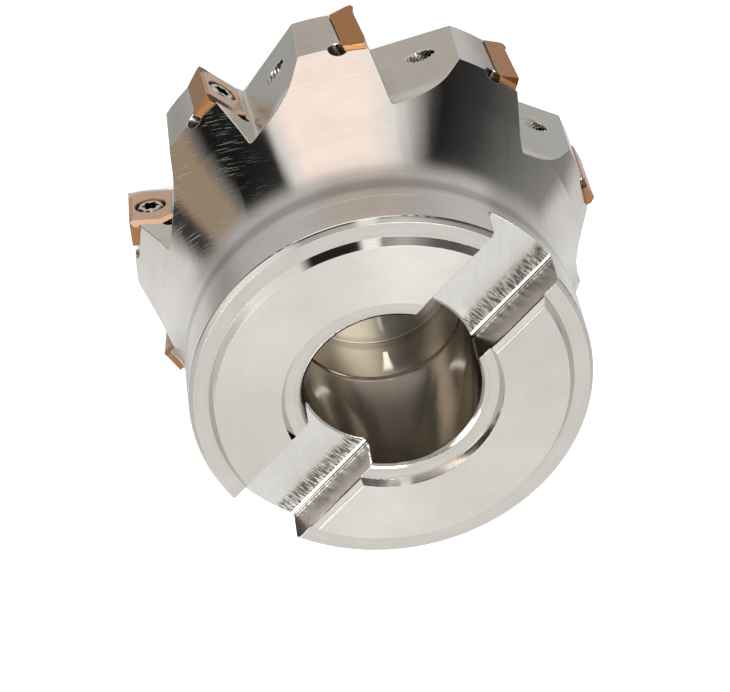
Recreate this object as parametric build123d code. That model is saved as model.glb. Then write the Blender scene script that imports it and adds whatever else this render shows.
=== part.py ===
from build123d import *
from math import cos, radians, sin, tan
import os

# High feed face mill: a bored steel body with nine teeth, each carrying a double-sided
# carbide insert that one countersunk screw clamps into a pocket. Millimetres.
# Origin at the centre of the raised contact face, +Z towards the spindle, drive slot along X.

# Hub, contact face and bore
HUB_DIAMETER = 49.5
HUB_CHAMFER = 0.55
HUB_LENGTH = 8.35
PAD_HEIGHT = 1.0
HUB_LEDGE_WIDTH = 1.9
PAD_BEVEL_WIDTH = 0.7
PAD_INNER_BEVEL_WIDTH = 0.5
BORE_LEDGE_WIDTH = 1.63
BORE_DIAMETER = 22.0
BORE_MOUTH_CHAMFER = 0.47
BORE_DEPTH = 28.0
BORE_ROOT_FILLET = 0.6
BORE_GROOVE_DEPTH = 0.2
BORE_GROOVE_WIDTH = 0.7
BORE_GROOVE_PLACE = 19.2

# Drive slot across the rear face
SLOT_WIDTH = 10.4
SLOT_DEPTH = 6.4
SLOT_ROOT_FILLET = 0.7
SLOT_EDGE_BEVEL = 0.65

# Flare from the hub to the rim, and the front face
WAIST_STEP = 0.15
FLARE_MIDDLE_RISE = 0.95
FLARE_MIDDLE_DEPTH = 20.0
FLARE_CONE_STEP = 2.35
FLARE_CONE_LENGTH = 6.0
RIM_DIAMETER = 59.8
RIM_LENGTH = 9.1
BODY_LENGTH = 43.1
RIM_FRONT_FILLET = 0.4
SCREW_WEB = 5.1
ARBOR_SCREW_HOLE_DIAMETER = 11.0
ARBOR_SCREW_RECESS_DIAMETER = 18.0
FRONT_RECESS_CHAMFER = 0.5

# Teeth: where an insert's screw stands, and how its rake face is turned and leant
TOOTH_COUNT = 9
SCREW_INSET = 1.8
SCREW_SETBACK = 4.2
RAKE_TURN = 17.0
RAKE_LEAN = 6.4

# Chip gullets: how far the floor stands in from an insert's side, and its run to the rear
GULLET_FLOOR_MARGIN = 1.02
GULLET_STRAIGHT = 8.7
GULLET_RUNOUT_RADIUS = 9.6
GULLET_CORNER_FILLET = 0.4

# Inserts: D2-symmetric outline with raised noses, and a hole countersunk from both faces
INSERT_WIDTH = 5.76
INSERT_THICKNESS = 3.12
INSERT_PROUD = 0.06
CROWN_OFFSET = 5.7
CROWN_SHIFT = 0.5
NOSE_DROP = 0.92
SHOULDER_DROP = 0.7
NOSE_RISE = 0.7
NOSE_RUN = 1.7
NOSE_SPREAD = 2.3
SIDE_BEVEL_WIDTH = 0.5
SIDE_BEVEL_DROP = 0.13
END_EDGE_DROP = 0.4
END_LAND_WIDTH = 1.3
SHOULDER_TRIM_ALONG = 0.95
SHOULDER_TRIM_ACROSS = 0.65
SHOULDER_TRIM_DEPTH = 3.2
COUNTERSINK_DIAMETER = 4.16
COUNTERSINK_ANGLE = 60.0

# Insert screws and the tapped holes that run through the teeth
THREAD_DIAMETER = 2.5
THREAD_CLEARANCE = 0.02
INSERT_HOLE_CLEARANCE = 0.15
SCREW_HEAD_CLEARANCE = 0.3
SCREW_HEAD_BEVEL = 0.33
SCREW_HEAD_EDGE = 0.24
SCREW_HEAD_SUNK = 0.02
SCREW_LENGTH = 8.0
SCREW_TIP_CHAMFER = 0.3
RECESS_OUTER_DIAMETER = 2.3
RECESS_LOBE_DIAMETER = 0.62
RECESS_CORE_DIAMETER = 1.7
RECESS_DEPTH = 1.0

# Undercuts that free the insert's lower noses and the pocket's corner
UNDERCUT_DIAMETER = 2.4
UNDERCUT_SINK = 0.7
UNDERCUT_INSET = 0.87
REAR_UNDERCUT_INSET = 1.25
CORNER_RELIEF_DIAMETER = 1.8
CORNER_RELIEF_INSET = 0.45

# How far a cutting tool runs past the metal
OVERCUT = 1.0
TOOL_REACH = 12.0

TOOTH_PITCH = 360.0 / TOOTH_COUNT
SEAT_DEPTH = INSERT_THICKNESS - INSERT_PROUD
HALF_WIDTH = INSERT_WIDTH / 2
HALF_THICKNESS = INSERT_THICKNESS / 2
NOSE_OFFSET = CROWN_OFFSET - NOSE_DROP
SHOULDER_OFFSET = CROWN_OFFSET - SHOULDER_DROP
REAR_SLOPE = SHOULDER_DROP / (HALF_WIDTH + CROWN_SHIFT)
COUNTERSINK_RADIUS = COUNTERSINK_DIAMETER / 2
SCREW_HEAD_RADIUS = COUNTERSINK_RADIUS - SCREW_HEAD_CLEARANCE
HALF_TURNS = (Rotation(0, 0, 0), Rotation(0, 0, 180), Rotation(180, 0, 0), Rotation(0, 180, 0))


# The rake face's own frame: X outwards, Y to the rear, Z out of the face, from the screw's axis
def rake_plane():
    turn, lean = radians(RAKE_TURN), radians(RAKE_LEAN)
    outwards = (cos(turn), sin(turn), 0)
    normal = (sin(turn) * cos(lean), -cos(turn) * cos(lean), -sin(lean))
    screw_axis = (RIM_DIAMETER / 2 - SCREW_INSET, 0, SCREW_SETBACK - BODY_LENGTH)
    return Plane(origin=screw_axis, x_dir=outwards, z_dir=normal)


# One copy of a shape for each tooth
def around_teeth(shape):
    return [Rot(0, 0, TOOTH_PITCH * number) * shape for number in range(TOOTH_COUNT)]


# Hub, flare, rim, web and bores as one turned profile, radius along X
def turned_blank():
    hub, rim = HUB_DIAMETER / 2, RIM_DIAMETER / 2
    waist = hub - WAIST_STEP
    rim_start = BODY_LENGTH - RIM_LENGTH
    bore = BORE_DIAMETER / 2
    pad_foot = hub - HUB_CHAMFER - HUB_LEDGE_WIDTH
    pad_inner_foot = bore + BORE_MOUTH_CHAMFER + BORE_LEDGE_WIDTH
    groove = bore + BORE_GROOVE_DEPTH
    hole, recess = ARBOR_SCREW_HOLE_DIAMETER / 2, ARBOR_SCREW_RECESS_DIAMETER / 2
    web_front = -BORE_DEPTH - SCREW_WEB
    ring = -PAD_HEIGHT
    with BuildSketch(Plane.XZ) as profile:
        with BuildLine():
            rear = Polyline(
                (bore, -BORE_GROOVE_PLACE),
                (bore, ring - BORE_MOUTH_CHAMFER),
                (bore + BORE_MOUTH_CHAMFER, ring),
                (pad_inner_foot, ring),
                (pad_inner_foot + PAD_INNER_BEVEL_WIDTH, 0),
                (pad_foot - PAD_BEVEL_WIDTH, 0),
                (pad_foot, ring),
                (hub - HUB_CHAMFER, ring),
                (hub, ring - HUB_CHAMFER),
                (hub, -HUB_LENGTH),
                (waist, -HUB_LENGTH - WAIST_STEP),
            )
            flare = ThreePointArc(
                rear @ 1,
                (waist + FLARE_MIDDLE_RISE, -FLARE_MIDDLE_DEPTH),
                (rim - FLARE_CONE_STEP, -(rim_start - FLARE_CONE_LENGTH)),
            )
            Polyline(
                flare @ 1,
                (rim, -rim_start),
                (rim, -BODY_LENGTH),
                (recess + FRONT_RECESS_CHAMFER, -BODY_LENGTH),
                (recess, -BODY_LENGTH + FRONT_RECESS_CHAMFER),
                (recess, web_front),
                (hole, web_front),
                (hole, -BORE_DEPTH),
                (bore, -BORE_DEPTH),
                (bore, -BORE_GROOVE_PLACE - BORE_GROOVE_WIDTH - BORE_GROOVE_DEPTH),
                (groove, -BORE_GROOVE_PLACE - BORE_GROOVE_WIDTH),
                (groove, -BORE_GROOVE_PLACE - BORE_GROOVE_DEPTH),
                rear @ 0,
            )
        make_face()
        rim_corner = profile.vertices().sort_by_distance((rim, 0, -BODY_LENGTH))[0]
        fillet(rim_corner, RIM_FRONT_FILLET)
        bore_root = profile.vertices().sort_by_distance((bore, 0, -BORE_DEPTH))[0]
        fillet(bore_root, BORE_ROOT_FILLET)
    return revolve(profile.sketch, Axis.Z)


# The key slot, with rounded roots and bevelled edges on the raised pad
def slot_cut():
    half, mouth = SLOT_WIDTH / 2, SLOT_WIDTH / 2 + SLOT_EDGE_BEVEL
    with BuildSketch(Plane.YZ) as section:
        with BuildLine():
            Polyline(
                (-half, -SLOT_DEPTH),
                (half, -SLOT_DEPTH),
                (half, -PAD_HEIGHT),
                (mouth, 0),
                (mouth, OVERCUT),
                (-mouth, OVERCUT),
                (-mouth, 0),
                (-half, -PAD_HEIGHT),
                close=True,
            )
        make_face()
        fillet(section.vertices().group_by(Axis.Z)[0], SLOT_ROOT_FILLET)
    return extrude(section.sketch, HUB_DIAMETER / 2 + OVERCUT, both=True)


# Space in front of a rake face: flat face, square floor, and a floor that curves out to the rear
def gullet_cut():
    floor_place = -HALF_WIDTH - GULLET_FLOOR_MARGIN
    with BuildSketch() as section:
        with BuildLine():
            floor = Line((floor_place, -TOOL_REACH), (floor_place, GULLET_STRAIGHT))
            runout = JernArc(floor @ 1, floor % 1, GULLET_RUNOUT_RADIUS, -90)
            outer = (runout @ 1).X + OVERCUT
            Polyline(runout @ 1, (outer, (runout @ 1).Y), (outer, -TOOL_REACH), floor @ 0)
        make_face()
    space = extrude(section.sketch, RIM_DIAMETER / 2)
    face_edges = space.edges().group_by(Axis.Z)[0]
    arc = face_edges.filter_by(GeomType.CIRCLE)
    floor_edge = face_edges.filter_by(GeomType.LINE).sort_by(Axis.X)[0]
    return fillet(arc + [floor_edge], GULLET_CORNER_FILLET)


# Where the pocket's rear wall stands at a given distance outwards
def rear_wall(outwards):
    return CROWN_OFFSET - REAR_SLOPE * (outwards + CROWN_SHIFT)


# Seat, inner wall and rear wall of an insert, with undercuts in the corners
def pocket_cut():
    corner = (-HALF_WIDTH, rear_wall(-HALF_WIDTH))
    outer = (TOOL_REACH, rear_wall(TOOL_REACH))
    front = [(TOOL_REACH, -TOOL_REACH), (-HALF_WIDTH, -TOOL_REACH)]
    outline = make_face(Polyline(corner, outer, *front, close=True))
    pocket = Pos(0, 0, -SEAT_DEPTH) * extrude(outline, SEAT_DEPTH + OVERCUT)
    radius = UNDERCUT_DIAMETER / 2
    sunk = -SEAT_DEPTH - UNDERCUT_SINK
    side = -HALF_WIDTH + UNDERCUT_INSET
    rear = CROWN_OFFSET - REAR_UNDERCUT_INSET
    length = rear + TOOL_REACH
    side_groove = Pos(side, rear - length / 2, sunk) * Rot(90, 0, 0) * Cylinder(radius, length)
    reach = TOOL_REACH - side
    rear_groove = Pos(side + reach / 2, rear, sunk) * Rot(0, 90, 0) * Cylinder(radius, reach)
    relief_place = Pos(corner[0] + CORNER_RELIEF_INSET, corner[1] - CORNER_RELIEF_INSET, -SEAT_DEPTH)
    upwards = (Align.CENTER, Align.CENTER, Align.MIN)
    relief = Cylinder(CORNER_RELIEF_DIAMETER / 2, SEAT_DEPTH + OVERCUT, align=upwards)
    return pocket + side_groove + rear_groove + relief_place * relief


# Tapped hole through a tooth, out at the back of it
def screw_hole():
    radius = THREAD_DIAMETER / 2 + THREAD_CLEARANCE
    return Cylinder(radius, SEAT_DEPTH + TOOL_REACH, align=(Align.CENTER, Align.CENTER, Align.MAX))


# The whole body
def cutter_body():
    tooth_cut = rake_plane() * (gullet_cut() + pocket_cut() + screw_hole())
    return turned_blank() - slot_cut() - around_teeth(tooth_cut)


# A plane through three points, facing upwards
def plane_through(first, second, third):
    first, second, third = Vector(*first), Vector(*second), Vector(*third)
    normal = (second - first).cross(third - first).normalized()
    return Plane(origin=first, z_dir=normal if normal.Z > 0 else normal * -1)


# Insert outline, the same after half a turn about the hole
def insert_outline():
    half = [(HALF_WIDTH, -NOSE_OFFSET), (CROWN_SHIFT, -CROWN_OFFSET), (-HALF_WIDTH, -SHOULDER_OFFSET)]
    return make_face(Polyline(*half, *[(-x, -y) for x, y in half], close=True))


# One double-sided insert, centred on its own middle, upper face towards +Z
def insert():
    span = 2 * TOOL_REACH
    slab = Box(INSERT_WIDTH, span, INSERT_THICKNESS)
    edge = [
        (HALF_WIDTH + OVERCUT, HALF_THICKNESS + OVERCUT),
        (HALF_WIDTH, HALF_THICKNESS + OVERCUT),
        (HALF_WIDTH - SIDE_BEVEL_WIDTH, HALF_THICKNESS),
        (HALF_WIDTH, HALF_THICKNESS - SIDE_BEVEL_DROP),
        (HALF_WIDTH + OVERCUT, HALF_THICKNESS - SIDE_BEVEL_DROP),
    ]
    bevel = extrude(Plane.XZ * make_face(Polyline(*edge, close=True)), span, both=True)
    slab = slab - [turn * bevel for turn in HALF_TURNS]
    peak = HALF_THICKNESS + NOSE_RISE
    nose_face = plane_through(
        (HALF_WIDTH, -NOSE_OFFSET, peak),
        (HALF_WIDTH, -NOSE_OFFSET + NOSE_RUN, HALF_THICKNESS - SIDE_BEVEL_DROP),
        (HALF_WIDTH - NOSE_SPREAD, -NOSE_OFFSET, HALF_THICKNESS),
    )
    lump = Box(INSERT_WIDTH, span, peak + OVERCUT, align=(Align.CENTER, Align.CENTER, Align.MIN))
    nose = split(lump, bisect_by=nose_face, keep=Keep.BOTTOM)
    block = slab + [turn * nose for turn in HALF_TURNS]
    block = block & extrude(insert_outline(), HALF_THICKNESS + NOSE_RISE, both=True)
    end_edge = HALF_THICKNESS - END_EDGE_DROP
    across = (HALF_WIDTH + CROWN_SHIFT, CROWN_OFFSET - SHOULDER_OFFSET)
    run = END_LAND_WIDTH / (across[0] ** 2 + across[1] ** 2) ** 0.5
    end_land = plane_through(
        (CROWN_SHIFT, -CROWN_OFFSET, end_edge),
        (-HALF_WIDTH, -SHOULDER_OFFSET, end_edge),
        (CROWN_SHIFT + across[1] * run, -CROWN_OFFSET + across[0] * run, HALF_THICKNESS),
    )
    shoulder = plane_through(
        (HALF_WIDTH, SHOULDER_OFFSET - SHOULDER_TRIM_ALONG, HALF_THICKNESS),
        (HALF_WIDTH - SHOULDER_TRIM_ACROSS, rear_wall(HALF_WIDTH - SHOULDER_TRIM_ACROSS), HALF_THICKNESS),
        (HALF_WIDTH, SHOULDER_OFFSET, HALF_THICKNESS - SHOULDER_TRIM_DEPTH),
    )
    for turn in HALF_TURNS:
        for face in (end_land, shoulder):
            cut = Plane(turn * face.location)
            block = split(block, bisect_by=cut, keep=Keep.BOTTOM)
    return block - insert_hole()


# Cone depth between two radii of a countersink
def cone_depth(wide, narrow):
    return (wide - narrow) / tan(radians(COUNTERSINK_ANGLE / 2))


# Plain hole with a countersink at each face
def insert_hole():
    wide, narrow = COUNTERSINK_RADIUS, THREAD_DIAMETER / 2 + INSERT_HOLE_CLEARANCE
    depth = cone_depth(wide, narrow)
    top = HALF_THICKNESS
    profile = [
        (0, top + OVERCUT),
        (wide, top + OVERCUT),
        (wide, top),
        (narrow, top - depth),
        (narrow, 0),
        (0, 0),
    ]
    half = revolve(Plane.XZ * make_face(Polyline(*profile, close=True)), Axis.Z)
    return half + Rotation(180, 0, 0) * half


# Countersunk screw with a six-lobed socket, its axis on the rake frame's Z
def insert_screw():
    head, shank = SCREW_HEAD_RADIUS, THREAD_DIAMETER / 2
    top = INSERT_PROUD - SCREW_HEAD_SUNK
    cone_top = INSERT_PROUD - cone_depth(COUNTERSINK_RADIUS, head)
    tip = top - SCREW_LENGTH
    profile = [
        (0, top),
        (head - SCREW_HEAD_BEVEL, top),
        (head, top - SCREW_HEAD_EDGE),
        (head, cone_top),
        (shank, cone_top - cone_depth(head, shank)),
        (shank, tip + SCREW_TIP_CHAMFER),
        (shank - SCREW_TIP_CHAMFER, tip),
        (0, tip),
    ]
    blank = revolve(Plane.XZ * make_face(Polyline(*profile, close=True)), Axis.Z)
    lobe_circle = (RECESS_OUTER_DIAMETER - RECESS_LOBE_DIAMETER) / 2
    socket = Circle(RECESS_CORE_DIAMETER / 2)
    socket += [place * Circle(RECESS_LOBE_DIAMETER / 2) for place in PolarLocations(lobe_circle, 6)]
    return blank - Pos(0, 0, top - RECESS_DEPTH) * extrude(socket, RECESS_DEPTH + OVERCUT)


# Each piece is built once and set at every tooth
os.makedirs("parts", exist_ok=True)
export_step(cutter_body(), "parts/cutter_body.step")
seated_insert = rake_plane() * Pos(0, 0, INSERT_PROUD - HALF_THICKNESS) * insert()
for number, piece in enumerate(around_teeth(seated_insert), start=1):
    export_step(piece, f"parts/insert_{number}.step")
export_step(Compound(children=around_teeth(rake_plane() * insert_screw())), "parts/insert_screws.step")
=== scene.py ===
import bmesh
import bpy
from math import cos, pi, radians, sin
from mathutils import Matrix, Vector
from types import SimpleNamespace


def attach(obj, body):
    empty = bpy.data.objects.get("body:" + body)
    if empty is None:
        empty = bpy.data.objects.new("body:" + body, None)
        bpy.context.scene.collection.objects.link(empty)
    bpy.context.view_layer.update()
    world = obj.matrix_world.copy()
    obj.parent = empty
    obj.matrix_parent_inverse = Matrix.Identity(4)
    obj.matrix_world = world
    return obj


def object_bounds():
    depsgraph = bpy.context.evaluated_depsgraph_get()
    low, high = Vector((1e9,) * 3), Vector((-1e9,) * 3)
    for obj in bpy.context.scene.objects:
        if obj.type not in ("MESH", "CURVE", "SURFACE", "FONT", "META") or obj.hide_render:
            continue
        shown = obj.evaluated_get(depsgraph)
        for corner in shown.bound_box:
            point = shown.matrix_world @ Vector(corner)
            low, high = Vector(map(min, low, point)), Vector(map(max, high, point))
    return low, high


bl_info = {
    "name": "High feed milling cutter",
    "version": (1, 0, 0),
    "blender": (4, 5, 0),
    "location": "3D Viewport > Sidebar > Cutter",
    "description": "Dresses the packed cutter, its inserts and screws, and sets its stage",
    "category": "Object",
}

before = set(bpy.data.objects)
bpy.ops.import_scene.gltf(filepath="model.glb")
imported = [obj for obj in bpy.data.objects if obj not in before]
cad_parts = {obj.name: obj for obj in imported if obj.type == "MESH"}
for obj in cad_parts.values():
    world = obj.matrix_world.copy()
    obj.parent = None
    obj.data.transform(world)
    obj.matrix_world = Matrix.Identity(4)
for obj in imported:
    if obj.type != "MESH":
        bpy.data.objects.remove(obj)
CAD_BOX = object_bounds()
MM = 0.001
TOOTH_COUNT = 9
BODY = "cutter_body"
SCREWS = "insert_screws"
INSERTS = [f"insert_{number}" for number in range(1, TOOTH_COUNT + 1)]

# The rake frame of the first tooth, as the solids have it: screw axis in millimetres, turn, lean
SCREW_PLACE = (28.1, 0.0, -38.9)
RAKE_TURN = radians(17.0)
RAKE_LEAN = radians(6.4)

# Where the threads run along the tapped hole, from the rake face, in millimetres
THREAD_START, THREAD_END = -15.2, -10.4
# A thread's section over one pitch: the share of the pitch at its root, crest, crest and root
THREAD_SECTION = (0.06, 0.44, 0.56, 0.94)
THREAD_STEPS = 24
# The gullet's floor behind the tooth cuts the threads off: how far inwards of the screw's axis
GULLET_FLOOR = -3.9
DOUBLES = 0.0005 * MM

# Soft edges of the body's finishes in millimetres: where a mask is nothing and where it is full.
# Heights count down from the contact face and radii out from the axis.
CONTACT_FACE = (-0.06, -0.02)
PAD_FOOT = (-1.3, -1.1)
BEVEL_FOOT, BEVEL_BROW = (-0.99, -0.95), (-0.03, -0.06)
SLOT_DEPTH = 6.4
SLOT_FLOOR, SLOT_WALL_FOOT = (0.06, 0.03), (-6.5, -6.38)
BORE_WALL, BORE_MOUTH, BORE_END = (11.35, 11.25), (-0.9, -1.1), (-28.3, -27.9)
WEB_RIM, WEB_TOP = (11.1, 10.9), (-26.3, -26.6)
# The band where hub and flare meet is painted shade, not a finish
WAIST_BROW, WAIST_FOOT = (-7.0, -8.8), (-11.2, -9.6)

# Soft edges of directions, as shares of a whole one: how squarely a milled wall looks round the
# axis, how little a slot wall looks up, how far a rounded edge's normal turns, and a rake face
WALL_TURN, WALL_TILT, EDGE_BEND, RAKE_FACE = (0.08, 0.14), (0.3, 0.15), (0.985, 0.93), (0.8, 0.93)
# Only edges of milled faces get the painted highlight: how much of the milled mask that takes
MILLED_EDGES = (0.2, 0.8)

# Where the face mill's arcs in the slot and gullets are struck from, in millimetres
MILL_CENTRE = (52.0, -38.0, -10.0)
# The flare's middle radius, which turns an angle round the axis into a length, in millimetres
FLARE_RADIUS = 26.0
# How far the turned rings drift with the radius, and the milled arcs with the height
RING_DRIFT, ARC_DRIFT = 0.6, 0.1
# Layers of noise in the marks, and how much of each layer the next one keeps
TURNED_LAYERS, TURNED_KEEP, MILLED_LAYERS, MILLED_KEEP, PLAIN_KEEP = 5.0, 0.7, 3.0, 0.6, 0.55
HAIR_LAYERS, PATCH_LAYERS, DRAG_LAYERS = 1.0, 1.0, 3.0
# Hands and tables scratched the flare on one side: its direction from the axis, the soft edges of
# that side and of its top, and patches with their number per millimetre
HANDLED_SIDE = (-0.26, 0.966, 0.0)
HANDLED_TURN, HANDLED_TOP = (0.8, 0.93), (-11.0, -13.0)
PATCH_SCALE, PATCHES = 0.2, (0.4, 0.55)
# The scratches' slant, their stretch, how many lie on a millimetre and their soft edge
HAIR_SLANT, HAIR_STRETCH, HAIR_SCALE, HAIRS = radians(33), (0.14, 4.0, 1.0), 1.5, (0.63, 0.67)
# Swarf scraped the slot's floor beside one wall, and a corner cutter left two lines on the walls
DRAG_SLANT, DRAG_STRETCH, DRAG_SIDE = radians(-24), (3.4, 0.42, 0.0), (-2.0, -3.3)
DRAG_SCALE, DRAG_KEEP, DRAGS = 1.3, 0.7, (0.46, 0.53)
ROOT_LINE_HEIGHT, ROOT_LINE_GAP, ROOT_LINE = 5.65, 0.22, (0.09, 0.05)
# Broad haze of the plating: patches per millimetre, layers, and the darkest and lightest share
HAZE_SCALE, HAZE_LAYERS, HAZE_SHADES = 0.22, 4.0, (0.95, 1.03)

# Roughness of each finish
TURNED_ROUGH, MILLED_ROUGH, HONED_ROUGH, WEB_ROUGH = 0.1, 0.27, 0.13, 0.33
GROUND_ROUGH, BEVEL_ROUGH = 0.36, 0.08
# How strongly the tool's marks show on ground and slot walls, against 1 on turned steel
GROUND_MARKS, SLOT_WALL_MARKS = 0.3, 0.4
# How strongly marks, scratches, scrapes and the painted shade at the hub's foot show in colour,
# roughness, relief
MARK_TONE, MARK_ROUGH, MARK_DEPTH, SLOT_MARK_DEPTH = 0.22, 0.08, 0.15, 0.1
SCRATCH_TONE, SCRATCH_ROUGH, SCRATCH_DEPTH = 0.35, 0.24, 0.3
DRAG_TONE, WAIST_SHADE_STRENGTH = 0.85, 0.5
# The marks' middle value, above which they lighten the colour, and above which they roughen
MIDDLE_TONE, MIDDLE_ROUGH = 0.55, 0.5
# Marks pull highlights across themselves, a quarter turn from the way they run
MARK_PULL, QUARTER_TURN = 0.6, 0.25
# Height of the finest relief, in millimetres: tool marks, and the grain of coatings and plating
MARK_RELIEF, GRAIN_RELIEF = 0.02, 0.01
# The part of a noise that most of it lies in
NOISE_LOW, NOISE_HIGH = 0.3, 0.7

# How far hollows are felt for, in millimetres, and the soft edge of open air that paints shade into
# them
BODY_REACH, BODY_HOLLOW = 2.2, (0.42, 0.2)
INSERT_REACH, INSERT_HOLLOW = 1.0, (0.8, 0.5)
SCREW_REACH, SCREW_SHOWN = 1.2, (0.45, 0.92)
THREAD_REACH, THREAD_SHOWN = 0.8, (0.15, 0.65)
# Grains per millimetre, and the roughness and shades between which the grain goes. Real grains
# are a few thousandths of a millimetre, so they are drawn tens of times as coarse.
GRAIN_LAYERS = 3.0
INSERT_GRAIN, INSERT_ROUGH, INSERT_SHADES = 14.0, (0.16, 0.24), (0.96, 1.04)
SCREW_GRAIN, SCREW_ROUGH = 9.0, (0.1, 0.2)
THREAD_GRAIN, THREAD_ROUGH = 7.0, (0.15, 0.25)
# How strongly that grain's relief shows
INSERT_RELIEF_SHARE, SCREW_RELIEF_SHARE = 0.04, 0.25
# How many rays feel for hollows, for the body's edges and for the edges of small pieces
AIR_SAMPLES, BODY_EDGE_SAMPLES, SMALL_EDGE_SAMPLES = 8, 8, 6
# The coating is nearly a bare metal
CARBIDE_METALLIC = 0.95

# The photograph's camera: its place in millimetres, its turn round the axis in degrees, its own
# axes, lens and sensor in millimetres, how far the picture's middle is off the lens's axis as
# shares of the picture's width, and the nearest and farthest that it sees in metres
CAMERA_PLACE = (122.286, 147.177, 264.13)
CAMERA_TURN = 50.3
CAMERA_RIGHT = (0.65107, -0.7517, 0.10515)
CAMERA_UP = (0.66348, 0.49635, -0.55984)
FOCAL_LENGTH, SENSOR_WIDTH = 133.03, 36.0
SHIFT = (-0.002426, -0.001136)
CLIP = (0.01, 10.0)

# The floor lies just under the teeth and glows a little to the camera, so that it stays pale
FLOOR_GAP, FLOOR_HALF, FLOOR_GLOW = 0.05 * MM, 1.5, 0.62

# What the metal sees of the room, by degrees round the axis: soft boxes with dark gaps between, as
# linear levels of light. Low down lies what the flare shows, at eye level what the pad's bevels
# show, steeply below what the hub and the gullets show, and high up what the bore's wall shows
# after its rays have met the web.
PINK, BROWN = (1.17, 1.03, 0.97, 1.0), (0.37, 0.29, 0.21, 1.0)
ROSE = (0.5, 0.45, 0.42, 1.0)
FLARE_TONES = (
    (-180, 0.82), (-90, 0.73), (-72, 0.68), (-63, 0.26), (-45, 0.2), (-30, 0.13), (-15, 0.05),
    (3, 0.015), (7, 0.06), (11, 0.24), (18, 0.6), (25, 0.92), (38, PINK), (72, PINK), (80, 0.84),
    (85, 0.02), (108, 0.008), (112, 0.16), (117, BROWN), (134, BROWN), (139, 0.05), (146, 0.04),
    (151, 0.35), (157, 0.74), (180, 0.82),
)
BEVEL_TONES = (
    (-180, 0.6), (-60, 0.6), (-27, 0.4), (-12, 0.2), (5, 0.1), (15, 0.14), (30, 0.5), (41, 0.3),
    (43, 1.1), (50, 1.1), (53, 0.02), (78, 0.015), (84, 0.85), (113, 0.98), (128, 0.66),
    (180, 0.6),
)
HUB_TONES = (
    (-180, 0.72), (-168, 0.72), (-150, 0.55), (-125, 0.5), (-100, 0.75), (-75, 0.6), (-55, 0.44),
    (-38, 0.4), (-27, 0.6), (-15, 0.6), (10, 0.48), (25, ROSE), (60, ROSE), (74, 0.5),
    (90, 0.55), (125, 0.5), (142, 0.34), (156, 0.45), (166, 0.66), (180, 0.72),
)
BORE_TONES = (
    (-180, 0.79), (-90, 0.79), (-69, 0.35), (-46, 0.1), (-23, 0.08), (0, 0.13), (23, 0.2),
    (46, 0.26), (62, 0.5), (69, 1.0), (75, 0.3), (84, 0.1), (106, 0.15), (128, 0.35), (139, 0.9),
    (152, 0.9), (164, 0.45), (172, 0.55), (180, 0.79),
)
STEEPEST_TONE, OVERHEAD_TONE = (0.64, 0.62, 0.58, 1.0), (0.79, 0.795, 0.79, 1.0)
DULL_TONE, WHITE = (0.55, 0.55, 0.55, 1.0), (1.0, 1.0, 1.0, 1.0)
# Soft edges between those bands, as the height of a direction: -1 straight down, 1 straight up
FLARE_BAND, STEEPEST_BAND, BEVEL_BAND = (-0.814, -0.755), (-0.9, -0.94), (-0.24, -0.12)
OVERHEAD_BAND, BORE_BAND_FOOT, BORE_BAND_BROW = (0.3, 0.7), (0.77, 0.8), (0.9, 0.87)

# A light strip on the web that the bore's wall shows above it: degrees round the axis where it
# starts at the wall, width and length in millimetres, brightness, then its height and start
STRIP_PLACE, STRIP_WIDTH, STRIP_LENGTH, STRIP_STRENGTH = 230.5, 0.55, 2.8, 2.4
STRIP_HEIGHT, STRIP_START = -26.2, 10.5
# A ray's depth is 1 at its first reflection and 2 at its second: the strip shows below this
FIRST_REFLECTION = 1.5

# Soft lamps: name, place in metres, width in metres, watts
LAMPS = (
    ("key", (0.25, 0.05, 0.5), 0.35, 2.4),
    ("fill", (-0.3, 0.35, 0.4), 0.4, 2.0),
)


class CutterSizes(bpy.types.PropertyGroup):
    thread_crest: bpy.props.FloatProperty(
        name="Thread crest", description="Diameter at the crests of the tapped holes' threads",
        default=2.05 * MM, min=1.5 * MM, max=2.5 * MM, unit="LENGTH", precision=5)
    thread_root: bpy.props.FloatProperty(
        name="Thread root", description="Diameter at the roots of the tapped holes' threads",
        default=2.53 * MM, min=2.0 * MM, max=2.54 * MM, unit="LENGTH", precision=5)
    thread_pitch: bpy.props.FloatProperty(
        name="Thread pitch", description="Distance from crest to crest",
        default=0.45 * MM, min=0.3 * MM, max=0.6 * MM, unit="LENGTH", precision=5)
    turning_feed: bpy.props.FloatProperty(
        name="Turning feed", description="Spacing of the lathe's marks on the flare and hub",
        default=0.3 * MM, min=0.05 * MM, max=1.0 * MM, unit="LENGTH", precision=5)
    milling_feed: bpy.props.FloatProperty(
        name="Milling feed", description="Spacing of the milling marks in slot and gullets",
        default=0.28 * MM, min=0.05 * MM, max=1.0 * MM, unit="LENGTH", precision=5)
    edge_break: bpy.props.FloatProperty(
        name="Edge break", description="How far the milled steel's edges are rounded",
        default=0.2 * MM, min=0.0, max=0.5 * MM, unit="LENGTH", precision=5)
    pad_break: bpy.props.FloatProperty(
        name="Pad's edge break", description="How far the edges of the ground pad are rounded",
        default=0.02 * MM, min=0.0, max=0.5 * MM, unit="LENGTH", precision=5)
    insert_break: bpy.props.FloatProperty(
        name="Insert's edge break", description="How far the inserts' edges are honed round",
        default=0.07 * MM, min=0.0, max=0.3 * MM, unit="LENGTH", precision=5)
    screw_break: bpy.props.FloatProperty(
        name="Screw's edge break", description="How far the screw heads' edges are rounded",
        default=0.06 * MM, min=0.0, max=0.3 * MM, unit="LENGTH", precision=5)


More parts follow.
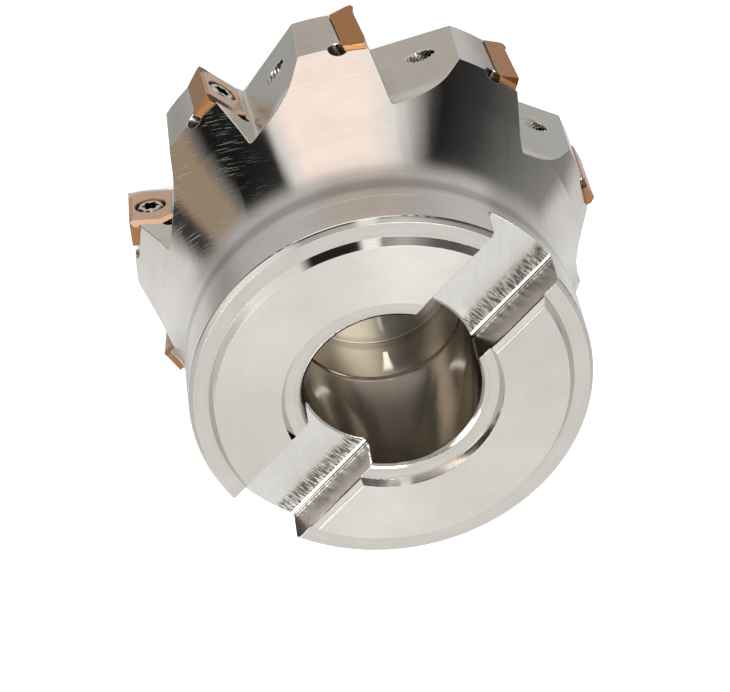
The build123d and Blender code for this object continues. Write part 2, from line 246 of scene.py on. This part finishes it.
class CutterColours(bpy.types.PropertyGroup):
    steel: bpy.props.StringProperty(
        name="Steel", description="Turned and ground nickel-plated steel, sRGB", default="#E6E1DA")
    milled: bpy.props.StringProperty(
        name="Milled steel", description="Milled flats of the gullets, sRGB", default="#DDDBD4")
    slot_floor: bpy.props.StringProperty(
        name="Slot floor", description="Freshly milled floor of the slot, sRGB", default="#F1EFEB")
    slot_wall: bpy.props.StringProperty(
        name="Slot walls", description="Walls that the arbor's keys rubbed, sRGB",
        default="#645E56")
    root_line: bpy.props.StringProperty(
        name="Root lines", description="Two bright lines low on the slot's walls, sRGB",
        default="#F3F2F0")
    drag: bpy.props.StringProperty(
        name="Scrapes", description="Dark scrapes on the slot's floor, sRGB", default="#47423B")
    # Painted shade: a darker band where hub and flare meet
    painted_waist_shade: bpy.props.StringProperty(
        name="Waist", description="Duller steel where hub and flare meet, sRGB",
        default="#8A857D")
    bore: bpy.props.StringProperty(
        name="Bore", description="Honed bore wall, sRGB", default="#B3ABA0")
    web: bpy.props.StringProperty(
        name="Web", description="Turned web at the bottom of the bore, sRGB", default="#948F86")
    scratch: bpy.props.StringProperty(
        name="Scratches", description="Hairline scratches on the flare, sRGB", default="#F9F7F3")
    # Painted highlight along the milled flats' broken edges, standing also for their worn bright
    # steel
    edge: bpy.props.StringProperty(
        name="Edges", description="Bright broken edges of the milled flats, sRGB",
        default="#FDFCF9")
    # Painted shade in undercuts and tapped holes
    painted_hollow_shade: bpy.props.StringProperty(
        name="Hollows", description="Undercuts and tapped holes, sRGB", default="#1C1A18")
    carbide: bpy.props.StringProperty(
        name="Carbide coating", description="Copper-coloured coating of the inserts, sRGB",
        default="#BC8758")
    carbide_rake: bpy.props.StringProperty(
        name="Carbide rake faces", description="Paler, polished faces of the inserts, sRGB",
        default="#D8B9A1")
    # Painted shade round the screw's head
    countersink_painted_shade: bpy.props.StringProperty(
        name="Countersink", description="Dark ring round the screw's head, sRGB",
        default="#241A14")
    screw: bpy.props.StringProperty(
        name="Screw", description="Bright plated screw steel, sRGB", default="#D5D3CD")
    # Painted shade in the screws' sockets
    painted_socket_shade: bpy.props.StringProperty(
        name="Socket", description="Bottom and walls of the six-lobed sockets, sRGB",
        default="#2B2A28")
    # Painted shade between the tapped threads' crests
    thread_root: bpy.props.StringProperty(
        name="Thread roots", description="Oily roots of the tapped threads, sRGB",
        default="#3A3733")
    floor: bpy.props.StringProperty(
        name="Floor", description="Pale studio floor, sRGB", default="#F4F4F4")
    strip: bpy.props.StringProperty(
        name="Bore light", description="Light strip in the bore, sRGB", default="#FFFDF9")


# sRGB hex to the linear colour that the shaders take
def colour(text):
    channels = [int(text[i:i + 2], 16) / 255 for i in (1, 3, 5)]
    linear = [c / 12.92 if c <= 0.04045 else ((c + 0.055) / 1.055) ** 2.4 for c in channels]
    return (*linear, 1.0)


# One node with its settings and links. A link is a socket; anything else is a value.
def add(tree, kind, inputs=None, **settings):
    made = tree.nodes.new("ShaderNode" + kind)
    for name, value in settings.items():
        setattr(made, name, value)
    for name, value in (inputs or {}).items():
        if isinstance(value, bpy.types.NodeSocket):
            tree.links.new(value, made.inputs[name])
        else:
            made.inputs[name].default_value = value
    return made


# The product of masks. A mask given as three values is a soft edge: what it reads, where it is
# nothing and where it is full.
def masked(tree, *masks):
    product = None
    for mask in masks:
        if isinstance(mask, tuple):
            value, nothing, full = mask
            edge = add(tree, "MapRange", {"Value": value, "From Min": nothing, "From Max": full},
                       interpolation_type="SMOOTHSTEP")
            mask = edge.outputs[0]
        if product is None:
            product = mask
        else:
            product = add(tree, "Math", {0: product, 1: mask}, operation="MULTIPLY").outputs[0]
    return product


# Colours, numbers or directions laid over one another: each layer is a mask and what it shows.
# The Mix node has two inputs and an output for each kind, at the places given here.
def layered(tree, base, *layers, kind="RGBA"):
    below, above, result = {"RGBA": (6, 7, 2), "FLOAT": (2, 3, 0), "VECTOR": (4, 5, 1)}[kind]
    for mask, layer in layers:
        mixed = add(tree, "Mix", {0: mask, below: base, above: layer}, data_type=kind)
        base = mixed.outputs[result]
    return base


# A metal's material, with its colour, roughness and finest relief still to be linked
def new_material(name, metallic=1.0):
    material, tree = empty_material(name)
    shader = add(tree, "BsdfPrincipled", {"Metallic": metallic})
    add(tree, "OutputMaterial", {"Surface": shader.outputs[0]}, target="ALL")
    return material, tree, shader


# A material with no nodes yet
def empty_material(name):
    material = bpy.data.materials.new(name)
    material.use_nodes = True
    material.node_tree.nodes.clear()
    return material, material.node_tree


# Object coordinates in millimetres, their part across the axis and its length
def cutter_coordinates(tree):
    place = add(tree, "TexCoord").outputs["Object"]
    mm = add(tree, "VectorMath", {0: place, "Scale": 1 / MM}, operation="SCALE").outputs[0]
    axes = add(tree, "SeparateXYZ", {0: mm})
    flat = add(tree, "CombineXYZ", {0: axes.outputs[0], 1: axes.outputs[1]}).outputs[0]
    radius = add(tree, "VectorMath", {0: flat}, operation="LENGTH").outputs["Value"]
    return mm, axes.outputs, flat, radius


# A face's normal, and how squarely it looks round the axis: 0 on turned surfaces, 1 on walls that
# hold the axis
def tangential_share(tree, flat):
    normal = add(tree, "NewGeometry").outputs["True Normal"]
    outward = add(tree, "VectorMath", {0: flat}, operation="NORMALIZE").outputs[0]
    sideways = add(tree, "VectorMath", {0: outward, 1: (0, 0, 1)}, operation="CROSS_PRODUCT")
    share = add(tree, "VectorMath", {0: normal, 1: sideways.outputs[0]}, operation="DOT_PRODUCT")
    share = add(tree, "Math", {0: share.outputs["Value"]}, operation="ABSOLUTE").outputs[0]
    return normal, outward, share


# A grain, and that grain spread between each pair of ends
def grained(tree, mm, grains_per_mm, layers, *spreads):
    grain = add(tree, "TexNoise", {"Vector": mm, "Scale": grains_per_mm, "Detail": layers,
                                   "Roughness": PLAIN_KEEP}).outputs["Fac"]
    spread = [add(tree, "MapRange", {"Value": grain, "From Min": NOISE_LOW, "From Max": NOISE_HIGH,
                                     "To Min": low, "To Max": high}).outputs[0]
              for low, high in spreads]
    return grain, *spread


# Where a point is open to the air within some millimetres, or where it isn't
def air_mask(tree, reach, edge):
    air = add(tree, "AmbientOcclusion", {"Distance": reach * MM}, samples=AIR_SAMPLES)
    return masked(tree, (air.outputs["AO"], *edge))


# Rounded edges with a metal's finest relief on them
def fine_relief(tree, grain, radius, strength):
    rounded = add(tree, "Bevel", {"Radius": radius}, samples=SMALL_EDGE_SAMPLES).outputs[0]
    return add(tree, "Bump", {"Strength": strength, "Distance": GRAIN_RELIEF * MM,
                              "Height": grain, "Normal": rounded}).outputs[0]


def connect(tree, shader, values):
    for name, value in values.items():
        tree.links.new(value, shader.inputs[name])


# Where each of the body's finishes lies, as masks
def body_finishes(tree):
    mm, (x, y, z), flat, radius = cutter_coordinates(tree)
    normal, outward, share = tangential_share(tree, flat)
    lift = add(tree, "SeparateXYZ", {0: normal}).outputs[2]
    tilt = add(tree, "Math", {0: lift}, operation="ABSOLUTE").outputs[0]
    above_floor = add(tree, "Math", {0: z, 1: SLOT_DEPTH}, operation="ADD").outputs[0]
    floor_gap = add(tree, "Math", {0: above_floor}, operation="ABSOLUTE").outputs[0]
    cut = masked(tree, (share, *WALL_TURN))
    slot_floor = masked(tree, (floor_gap, *SLOT_FLOOR))
    slot_wall = masked(tree, cut, (tilt, *WALL_TILT), (z, *SLOT_WALL_FOOT))
    worn = masked(tree, slot_wall, SLOT_WALL_MARKS)
    return SimpleNamespace(
        mm=mm, x=x, y=y, z=z, radius=radius, normal=normal, outward=outward,
        slot_floor=slot_floor, slot_wall=slot_wall,
        in_slot=add(tree, "Math", {0: slot_floor, 1: worn}, operation="MAXIMUM").outputs[0],
        milled=add(tree, "Math", {0: cut, 1: slot_floor}, operation="MAXIMUM").outputs[0],
        ground=masked(tree, (z, *CONTACT_FACE)),
        bevels=masked(tree, (z, *BEVEL_FOOT), (z, *BEVEL_BROW)),
        bore=masked(tree, (radius, *BORE_WALL), (z, *BORE_END), (z, *BORE_MOUTH)),
        web=masked(tree, (radius, *WEB_RIM), (z, *WEB_TOP)),
        # Painted shade: a band darkened where hub and flare meet
        painted_waist_shade=masked(tree, (z, *WAIST_BROW), (z, *WAIST_FOOT), WAIST_SHADE_STRENGTH),
    )


# The marks of lathe, grinder and mill as one pattern. Real feeds are near 0.1 mm, too fine to
# show, so the sizes draw them about three times as coarse.
def tool_marks(tree, sizes, at):
    drift = add(tree, "Math", {0: at.radius, 1: RING_DRIFT}, operation="MULTIPLY").outputs[0]
    rings = add(tree, "CombineXYZ", {2: at.z, 0: drift}).outputs[0]
    face_rings = add(tree, "CombineXYZ", {0: at.radius}).outputs[0]
    turned, faced = (
        add(tree, "TexNoise", {"Vector": spread, "Scale": MM / sizes.turning_feed,
                               "Detail": TURNED_LAYERS, "Roughness": TURNED_KEEP}).outputs["Fac"]
        for spread in (rings, face_rings))
    # The mill's arcs are struck from a point beside the cutter
    reach = add(tree, "VectorMath", {0: at.mm, 1: MILL_CENTRE}, operation="DISTANCE")
    drift = add(tree, "Math", {0: at.z, 1: ARC_DRIFT}, operation="MULTIPLY").outputs[0]
    arcs = add(tree, "CombineXYZ", {0: reach.outputs["Value"], 1: drift}).outputs[0]
    mill = add(tree, "TexNoise", {"Vector": arcs, "Scale": MM / sizes.milling_feed,
                                  "Detail": MILLED_LAYERS, "Roughness": MILLED_KEEP}).outputs["Fac"]
    return layered(tree, turned, (at.ground, faced), (at.milled, mill), kind="FLOAT")


# Hairline scratches across the turned marks, on the side that was handled. Real ones are 0.02 mm
# wide, and these are drawn about five times as wide to show.
def flare_scratches(tree, at):
    angle = add(tree, "Math", {0: at.y, 1: at.x}, operation="ARCTAN2").outputs[0]
    girth = add(tree, "Math", {0: angle, 1: FLARE_RADIUS}, operation="MULTIPLY").outputs[0]
    skin = add(tree, "CombineXYZ", {0: girth, 1: at.z}).outputs[0]
    slanted = add(tree, "VectorRotate", {"Vector": skin, "Angle": HAIR_SLANT},
                  rotation_type="Z_AXIS").outputs[0]
    hairs = add(tree, "Mapping", {"Vector": slanted, "Scale": HAIR_STRETCH}).outputs[0]
    hairs = add(tree, "TexNoise", {"Vector": hairs, "Scale": HAIR_SCALE,
                                   "Detail": HAIR_LAYERS,
                                   "Roughness": PLAIN_KEEP}).outputs["Fac"]
    patches = add(tree, "TexNoise", {"Vector": at.mm, "Scale": PATCH_SCALE,
                                     "Detail": PATCH_LAYERS,
                                     "Roughness": PLAIN_KEEP}).outputs["Fac"]
    side = add(tree, "VectorMath", {0: at.outward, 1: HANDLED_SIDE}, operation="DOT_PRODUCT")
    return masked(tree, (hairs, *HAIRS), (patches, *PATCHES), (at.z, *HANDLED_TOP),
                  (side.outputs["Value"], *HANDLED_TURN))


# Dark scrapes on the slot's floor, thick towards one wall, and the bright lines on its walls
def slot_wear(tree, at):
    stretched = add(tree, "Mapping", {"Vector": at.mm, "Rotation": (0, 0, DRAG_SLANT),
                                      "Scale": DRAG_STRETCH}).outputs[0]
    drag = add(tree, "TexNoise", {"Vector": stretched, "Scale": DRAG_SCALE,
                                  "Detail": DRAG_LAYERS,
                                  "Roughness": DRAG_KEEP}).outputs["Fac"]
    drag = masked(tree, (drag, *DRAGS), at.slot_floor, (at.y, *DRAG_SIDE))
    gap = at.z
    for operation, amount in (("ADD", ROOT_LINE_HEIGHT), ("ABSOLUTE", 0.0),
                              ("SUBTRACT", ROOT_LINE_GAP), ("ABSOLUTE", 0.0)):
        gap = add(tree, "Math", {0: gap, 1: amount}, operation=operation).outputs[0]
    return drag, masked(tree, (gap, *ROOT_LINE), at.slot_wall)


# How much the marks lighten and darken the steel, with a broad haze over them
def mark_shade(tree, at, marks, marked):
    over = add(tree, "Math", {0: marks, 1: MIDDLE_TONE}, operation="SUBTRACT").outputs[0]
    fade = masked(tree, over, masked(tree, marked, MARK_TONE))
    fade = add(tree, "Math", {0: 1.0, 1: fade}, operation="ADD").outputs[0]
    _, haze = grained(tree, at.mm, HAZE_SCALE, HAZE_LAYERS, HAZE_SHADES)
    return masked(tree, fade, haze)


# Nickel-plated tool steel, turned on the flare and hub, ground on the contact face, milled in
# the slot and gullets, honed in the bore: bright, with marks that pull reflections along the axis
def machined_steel(sizes, colours):
    material, tree, shader = new_material("nickel_plated_turned_steel")
    at = body_finishes(tree)
    marks = tool_marks(tree, sizes, at)
    scratch = flare_scratches(tree, at)
    drag, root_lines = slot_wear(tree, at)
    marked = layered(tree, 1.0, (at.milled, at.in_slot), (at.ground, GROUND_MARKS), kind="FLOAT")

    # Broken edges of the milled flats are rounded in the shading, and those of the ground pad are
    # sharper. A painted highlight lightens the milled flats' edges, standing also for their worn
    # bright steel
    plain = add(tree, "Math", {0: 1.0, 1: at.milled}, operation="SUBTRACT").outputs[0]
    pad = masked(tree, (at.z, *PAD_FOOT), plain)
    reach = layered(tree, sizes.edge_break, (pad, sizes.pad_break), kind="FLOAT")
    rounded = add(tree, "Bevel", {"Radius": reach}, samples=BODY_EDGE_SAMPLES).outputs[0]
    bend = add(tree, "VectorMath", {0: rounded, 1: at.normal}, operation="DOT_PRODUCT")
    edge = masked(tree, (bend.outputs["Value"], *EDGE_BEND), (at.milled, *MILLED_EDGES))
    # Painted shade: undercuts and tapped holes are darkened in colour where little open air reaches
    # them
    painted_hollow_shade = air_mask(tree, BODY_REACH, BODY_HOLLOW)

    tone = layered(
        tree, colour(colours.steel),
        (at.milled, colour(colours.milled)),
        (at.slot_floor, colour(colours.slot_floor)),
        (at.slot_wall, colour(colours.slot_wall)),
        (root_lines, colour(colours.root_line)),
        (masked(tree, drag, DRAG_TONE), colour(colours.drag)),
        # Painted shade where hub and flare meet
        (at.painted_waist_shade, colour(colours.painted_waist_shade)),
        (at.bore, colour(colours.bore)),
        (at.web, colour(colours.web)))
    shade = mark_shade(tree, at, marks, marked)
    tone = add(tree, "VectorMath", {0: tone, "Scale": shade}, operation="SCALE").outputs[0]
    tone = layered(
        tree, tone,
        (masked(tree, scratch, SCRATCH_TONE), colour(colours.scratch)),
        # Painted highlight on the milled flats' edges, also their worn bright steel
        (edge, colour(colours.edge)),
        (painted_hollow_shade, colour(colours.painted_hollow_shade)))

    rough = layered(
        tree, TURNED_ROUGH,
        (at.milled, MILLED_ROUGH), (at.bore, HONED_ROUGH), (at.web, WEB_ROUGH),
        (at.ground, GROUND_ROUGH), (at.bevels, BEVEL_ROUGH), kind="FLOAT")
    over = add(tree, "Math", {0: marks, 1: MIDDLE_ROUGH}, operation="SUBTRACT").outputs[0]
    grooved = masked(tree, over, masked(tree, marked, MARK_ROUGH))
    rough = add(tree, "Math", {0: rough, 1: grooved}, operation="ADD").outputs[0]
    rough = add(tree, "Math", {0: rough, 1: masked(tree, scratch, SCRATCH_ROUGH)},
                operation="ADD", use_clamp=True).outputs[0]

    slot_depth = masked(tree, at.in_slot, SLOT_MARK_DEPTH)
    depth = layered(tree, MARK_DEPTH, (at.milled, slot_depth), kind="FLOAT")
    height = add(tree, "Math", {0: marks, 1: masked(tree, scratch, SCRATCH_DEPTH)},
                 operation="SUBTRACT")
    bump = add(tree, "Bump", {"Strength": depth, "Distance": MARK_RELIEF * MM,
                              "Height": height.outputs[0], "Normal": rounded}).outputs[0]
    # Marks run round the axis where it was turned and straight where it was milled
    turned = add(tree, "Tangent", direction_type="RADIAL", axis="Z").outputs[0]
    straight = layered(tree, (0, 0, 1), (at.slot_floor, (1, 0, 0)), kind="VECTOR")
    along = layered(tree, turned, (at.milled, straight), kind="VECTOR")
    connect(tree, shader, {"Base Color": tone, "Roughness": rough, "Normal": bump,
                           "Tangent": along})
    shader.inputs["Anisotropic"].default_value = MARK_PULL
    shader.inputs["Anisotropic Rotation"].default_value = QUARTER_TURN
    return material


# Coated cemented carbide: pressed and sintered, then vapour coated, a satin copper skin that is
# paler on the polished rake faces
def coated_carbide(sizes, colours):
    material, tree, shader = new_material("copper_coated_carbide", metallic=CARBIDE_METALLIC)
    mm, _, flat, _ = cutter_coordinates(tree)
    _, _, share = tangential_share(tree, flat)
    grain, rough, speck = grained(tree, mm, INSERT_GRAIN, GRAIN_LAYERS, INSERT_ROUGH,
                                  INSERT_SHADES)
    rake = masked(tree, (share, *RAKE_FACE))
    tone = layered(tree, colour(colours.carbide), (rake, colour(colours.carbide_rake)))
    tone = add(tree, "VectorMath", {0: tone, "Scale": speck}, operation="SCALE").outputs[0]
    # Painted shade: the seat round the screw's head is darkened in colour where little open air
    # reaches it
    painted_hollow_shade = air_mask(tree, INSERT_REACH, INSERT_HOLLOW)
    connect(tree, shader, {
        "Base Color": layered(tree, tone, (painted_hollow_shade, colour(colours.countersink_painted_shade))),
        "Roughness": rough,
        "Normal": fine_relief(tree, grain, sizes.insert_break, INSERT_RELIEF_SHARE)})
    return material


# Plated screw steel, turned head with a pressed socket: bright, with painted shade down in the
# socket
def screw_steel(sizes, colours):
    material, tree, shader = new_material("plated_screw_steel")
    mm, _, _, _ = cutter_coordinates(tree)
    grain, rough = grained(tree, mm, SCREW_GRAIN, GRAIN_LAYERS, SCREW_ROUGH)
    shown = air_mask(tree, SCREW_REACH, SCREW_SHOWN)
    connect(tree, shader, {
        "Base Color": layered(tree, colour(colours.painted_socket_shade), (shown, colour(colours.screw))),
        "Roughness": rough,
        "Normal": fine_relief(tree, grain, sizes.screw_break, SCREW_RELIEF_SHARE)})
    return material


# Cut thread in tool steel: bright along the crests, with painted shade between them
def thread_steel(colours):
    material, tree, shader = new_material("tapped_thread_steel")
    mm, _, _, _ = cutter_coordinates(tree)
    _, rough = grained(tree, mm, THREAD_GRAIN, GRAIN_LAYERS, THREAD_ROUGH)
    shown = air_mask(tree, THREAD_REACH, THREAD_SHOWN)
    connect(tree, shader, {
        "Base Color": layered(tree, colour(colours.thread_root), (shown, colour(colours.steel))),
        "Roughness": rough})
    return material


# Puts one material in every slot of a CAD node
def dress(name, material):
    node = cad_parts[name]
    node.data.materials.clear()
    node.data.materials.append(material)


class CUTTER_OT_body(bpy.types.Operator):
    """Machined steel on the cutter's body"""
    bl_idname = "cutter.body"
    bl_label = "Body"

    def execute(self, context):
        dress(BODY, machined_steel(context.scene.cutter_sizes, context.scene.cutter_colours))
        return {"FINISHED"}


class CUTTER_OT_inserts(bpy.types.Operator):
    """Copper-coloured coating on the nine inserts"""
    bl_idname = "cutter.inserts"
    bl_label = "Inserts"

    def execute(self, context):
        material = coated_carbide(context.scene.cutter_sizes, context.scene.cutter_colours)
        for name in INSERTS:
            dress(name, material)
        return {"FINISHED"}


class CUTTER_OT_screws(bpy.types.Operator):
    """Bright plating on the insert screws"""
    bl_idname = "cutter.screws"
    bl_label = "Screws"

    def execute(self, context):
        dress(SCREWS, screw_steel(context.scene.cutter_sizes, context.scene.cutter_colours))
        return {"FINISHED"}


class CUTTER_OT_threads(bpy.types.Operator):
    """Thread ridges in the tapped holes, where they come out behind the inserts"""
    bl_idname = "cutter.threads"
    bl_label = "Tapped threads"

    def rake_frame(self, tooth):
        outwards = Vector((cos(RAKE_TURN), sin(RAKE_TURN), 0))
        normal = Vector((sin(RAKE_TURN) * cos(RAKE_LEAN), -cos(RAKE_TURN) * cos(RAKE_LEAN),
                         -sin(RAKE_LEAN)))
        axes = Matrix((outwards, normal.cross(outwards), normal)).transposed().to_4x4()
        turned = Matrix.Rotation(2 * pi * tooth / TOOTH_COUNT, 4, "Z")
        return turned @ Matrix.Translation(Vector(SCREW_PLACE) * MM) @ axes

    def ridge(self, sizes):
        root, crest, pitch = sizes.thread_root / 2, sizes.thread_crest / 2, sizes.thread_pitch
        shape = bmesh.new()
        ring = [shape.verts.new((radius, 0, THREAD_START * MM + share * pitch))
                for radius, share in zip((root, crest, crest, root), THREAD_SECTION)]
        edges = [shape.edges.new(pair) for pair in zip(ring, ring[1:] + ring[:1])]
        turns = int((THREAD_END - THREAD_START) * MM / pitch)
        bmesh.ops.spin(shape, geom=ring + edges, cent=(0, 0, 0), axis=(0, 0, 1),
                       angle=turns * 2 * pi, steps=turns * THREAD_STEPS,
                       dvec=(0, 0, pitch / THREAD_STEPS), use_duplicate=False)
        return shape

    # Cuts the ridge off at the next gullet's floor, then closes it
    def trim(self, shape, gullet):
        bmesh.ops.bisect_plane(shape, geom=shape.verts[:] + shape.edges[:] + shape.faces[:],
                               plane_co=gullet @ Vector((GULLET_FLOOR * MM, 0, 0)),
                               plane_no=gullet.to_3x3() @ Vector((1, 0, 0)), clear_outer=True)
        bmesh.ops.remove_doubles(shape, verts=shape.verts, dist=DOUBLES)
        rims = [edge for edge in shape.edges if edge.is_boundary]
        bmesh.ops.holes_fill(shape, edges=rims, sides=0)
        bmesh.ops.recalc_face_normals(shape, faces=shape.faces)
        if not shape.faces:
            raise RuntimeError("the gullet's floor left no thread")

    def execute(self, context):
        material = thread_steel(context.scene.cutter_colours)
        for tooth in range(TOOTH_COUNT):
            shape = self.ridge(context.scene.cutter_sizes)
            bmesh.ops.transform(shape, matrix=self.rake_frame(tooth), verts=shape.verts)
            self.trim(shape, self.rake_frame(tooth + 1))
            mesh = bpy.data.meshes.new(f"tapped_thread_{tooth + 1}")
            shape.to_mesh(mesh)
            shape.free()
            mesh.materials.append(material)
            piece = bpy.data.objects.new(mesh.name, mesh)
            context.scene.collection.objects.link(piece)
            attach(piece, "root")
        return {"FINISHED"}


# One band of soft boxes and gaps as a colour, from the turn round the axis
def room_band(tree, turn, tones):
    share = add(tree, "MapRange", {"Value": turn, "From Min": -pi, "From Max": pi}).outputs[0]
    band = add(tree, "ValToRGB", {"Fac": share})
    stops = band.color_ramp.elements
    while len(stops) < len(tones):
        stops.new(0.5)
    for stop, (place, tone) in zip(stops, tones):
        stop.position = (place + 180) / 360
        stop.color = tone if isinstance(tone, tuple) else (tone, tone, tone, 1.0)
    return band.outputs["Color"]


class CUTTER_OT_stage(bpy.types.Operator):
    """Pale floor, soft lamps, the room that metal mirrors and the photograph's camera"""
    bl_idname = "cutter.stage"
    bl_label = "Stage"

    def execute(self, context):
        scene = context.scene
        self.camera(scene)
        self.floor(scene)
        self.bore_strip(scene)
        self.room(scene)
        self.lamps(scene)
        scene.view_settings.view_transform = "Standard"
        return {"FINISHED"}

    def camera(self, scene):
        lens = bpy.data.cameras.new("camera")
        lens.lens = FOCAL_LENGTH
        lens.sensor_width = SENSOR_WIDTH
        lens.shift_x, lens.shift_y = SHIFT
        lens.clip_start, lens.clip_end = CLIP
        eye = bpy.data.objects.new("camera", lens)
        right, up = Vector(CAMERA_RIGHT).normalized(), Vector(CAMERA_UP).normalized()
        back = right.cross(up)
        turned = Matrix((right, up, back)).transposed().to_4x4()
        eye.matrix_world = Matrix.Translation(Vector(CAMERA_PLACE) * MM) @ turned
        scene.collection.objects.link(eye)
        scene.camera = eye

    # A flat sheet of the stage, with its material's tree, the rays that meet it and a clear shader
    def sheet(self, scene, name, material_name, segments, size, matrix):
        mesh = bpy.data.meshes.new(name)
        flat = bmesh.new()
        bmesh.ops.create_grid(flat, x_segments=segments, y_segments=segments, size=size,
                              matrix=matrix)
        flat.to_mesh(mesh)
        flat.free()
        holder = bpy.data.objects.new(name, mesh)
        scene.collection.objects.link(holder)
        material, tree = empty_material(material_name)
        mesh.materials.append(material)
        return tree, add(tree, "LightPath").outputs, add(tree, "BsdfTransparent").outputs[0]

    # Paper that metal sees through, so that it shows the room's bands instead
    def floor(self, scene):
        height = Matrix.Translation((0, 0, CAD_BOX[0].z - FLOOR_GAP))
        tree, rays, clear = self.sheet(scene, "floor", "pale_floor_paper", 2, FLOOR_HALF, height)
        tone = colour(scene.cutter_colours.floor)
        paper = add(tree, "BsdfDiffuse", {"Color": tone}).outputs[0]
        glow = add(tree, "Emission", {"Color": WHITE, "Strength": FLOOR_GLOW}).outputs[0]
        lit = add(tree, "AddShader", {0: paper, 1: glow}).outputs[0]
        shown = add(tree, "MixShader", {0: rays["Is Camera Ray"], 1: paper, 2: lit}).outputs[0]
        surface = add(tree, "MixShader", {0: rays["Is Glossy Ray"], 1: shown, 2: clear}).outputs[0]
        add(tree, "OutputMaterial", {"Surface": surface})

    # A bright strip just over the web, which only a first reflection shows
    def bore_strip(self, scene):
        start = Vector((STRIP_START, 0, STRIP_HEIGHT))
        wall = Matrix.Rotation(radians(STRIP_PLACE), 4, "Z") @ start
        # The way a ray from the camera's side goes on after it meets the wall there
        turned = Matrix.Rotation(radians(2 * STRIP_PLACE - CAMERA_TURN), 4, "Z")
        middle = wall + turned @ Vector((STRIP_LENGTH / 2, 0, 0))
        size = Matrix.Diagonal(Vector((STRIP_LENGTH / 2, STRIP_WIDTH / 2, 1, 1)))
        tree, rays, clear = self.sheet(scene, "bore_strip", "bore_strip_light", 1, MM,
                                       Matrix.Translation(middle * MM) @ turned @ size)
        tone = colour(scene.cutter_colours.strip)
        glow = add(tree, "Emission", {"Color": tone, "Strength": STRIP_STRENGTH}).outputs[0]
        first = add(tree, "Math", {0: rays["Ray Depth"], 1: FIRST_REFLECTION},
                    operation="LESS_THAN")
        seen = masked(tree, rays["Is Glossy Ray"], first.outputs[0])
        surface = add(tree, "MixShader", {0: seen, 1: clear, 2: glow}).outputs[0]
        add(tree, "OutputMaterial", {"Surface": surface})

    # Metal sees the bands, the camera and glass see white, and dull faces an even grey
    def room(self, scene):
        world = bpy.data.worlds.new("room")
        world.use_nodes = True
        scene.world = world
        tree = world.node_tree
        tree.nodes.clear()
        towards = add(tree, "TexCoord").outputs["Generated"]
        x, y, height = add(tree, "SeparateXYZ", {0: towards}).outputs
        turn = add(tree, "Math", {0: y, 1: x}, operation="ARCTAN2").outputs[0]
        flare, bevel, hub, bore = (room_band(tree, turn, tones) for tones in (
            FLARE_TONES, BEVEL_TONES, HUB_TONES, BORE_TONES))
        bore_band = masked(tree, (height, *BORE_BAND_FOOT), (height, *BORE_BAND_BROW))
        overhead = layered(tree, OVERHEAD_TONE, (bore_band, bore))
        seen = layered(
            tree, hub,
            (masked(tree, (height, *FLARE_BAND)), flare),
            (masked(tree, (height, *STEEPEST_BAND)), STEEPEST_TONE),
            (masked(tree, (height, *BEVEL_BAND)), bevel),
            (masked(tree, (height, *OVERHEAD_BAND)), overhead))
        rays = add(tree, "LightPath").outputs
        clear = add(tree, "Math", {0: rays["Is Camera Ray"], 1: rays["Is Transmission Ray"]},
                    operation="MAXIMUM").outputs[0]
        shown = layered(tree, DULL_TONE, (rays["Is Glossy Ray"], seen), (clear, WHITE))
        light = add(tree, "Background", {"Color": shown, "Strength": 1.0}).outputs[0]
        add(tree, "OutputWorld", {"Surface": light})

    def lamps(self, scene):
        for name, place, width, watts in LAMPS:
            lamp = bpy.data.lights.new(name, "AREA")
            lamp.shape = "DISK"
            lamp.size = width
            lamp.energy = watts
            holder = bpy.data.objects.new(name, lamp)
            holder.location = place
            holder.rotation_euler = (-Vector(place)).to_track_quat("-Z", "Y").to_euler()
            scene.collection.objects.link(holder)


class CUTTER_PT_panel(bpy.types.Panel):
    """Makes each part of the scene"""
    bl_label = "Milling cutter"
    bl_idname = "CUTTER_PT_panel"
    bl_space_type = "VIEW_3D"
    bl_region_type = "UI"
    bl_category = "Cutter"

    def draw(self, context):
        for kind in OPERATORS:
            self.layout.operator(kind.bl_idname)


OPERATORS = (CUTTER_OT_stage, CUTTER_OT_body, CUTTER_OT_inserts, CUTTER_OT_screws,
             CUTTER_OT_threads)
CLASSES = (CutterSizes, CutterColours, *OPERATORS, CUTTER_PT_panel)


def register():
    for kind in CLASSES:
        bpy.utils.register_class(kind)
    bpy.types.Scene.cutter_sizes = bpy.props.PointerProperty(type=CutterSizes)
    bpy.types.Scene.cutter_colours = bpy.props.PointerProperty(type=CutterColours)


def unregister():
    del bpy.types.Scene.cutter_colours
    del bpy.types.Scene.cutter_sizes
    for kind in reversed(CLASSES):
        bpy.utils.unregister_class(kind)


def main():
    register()
    bpy.ops.cutter.stage()
    bpy.ops.cutter.body()
    bpy.ops.cutter.inserts()
    bpy.ops.cutter.screws()
    bpy.ops.cutter.threads()


if __name__ == "__main__":
    main()
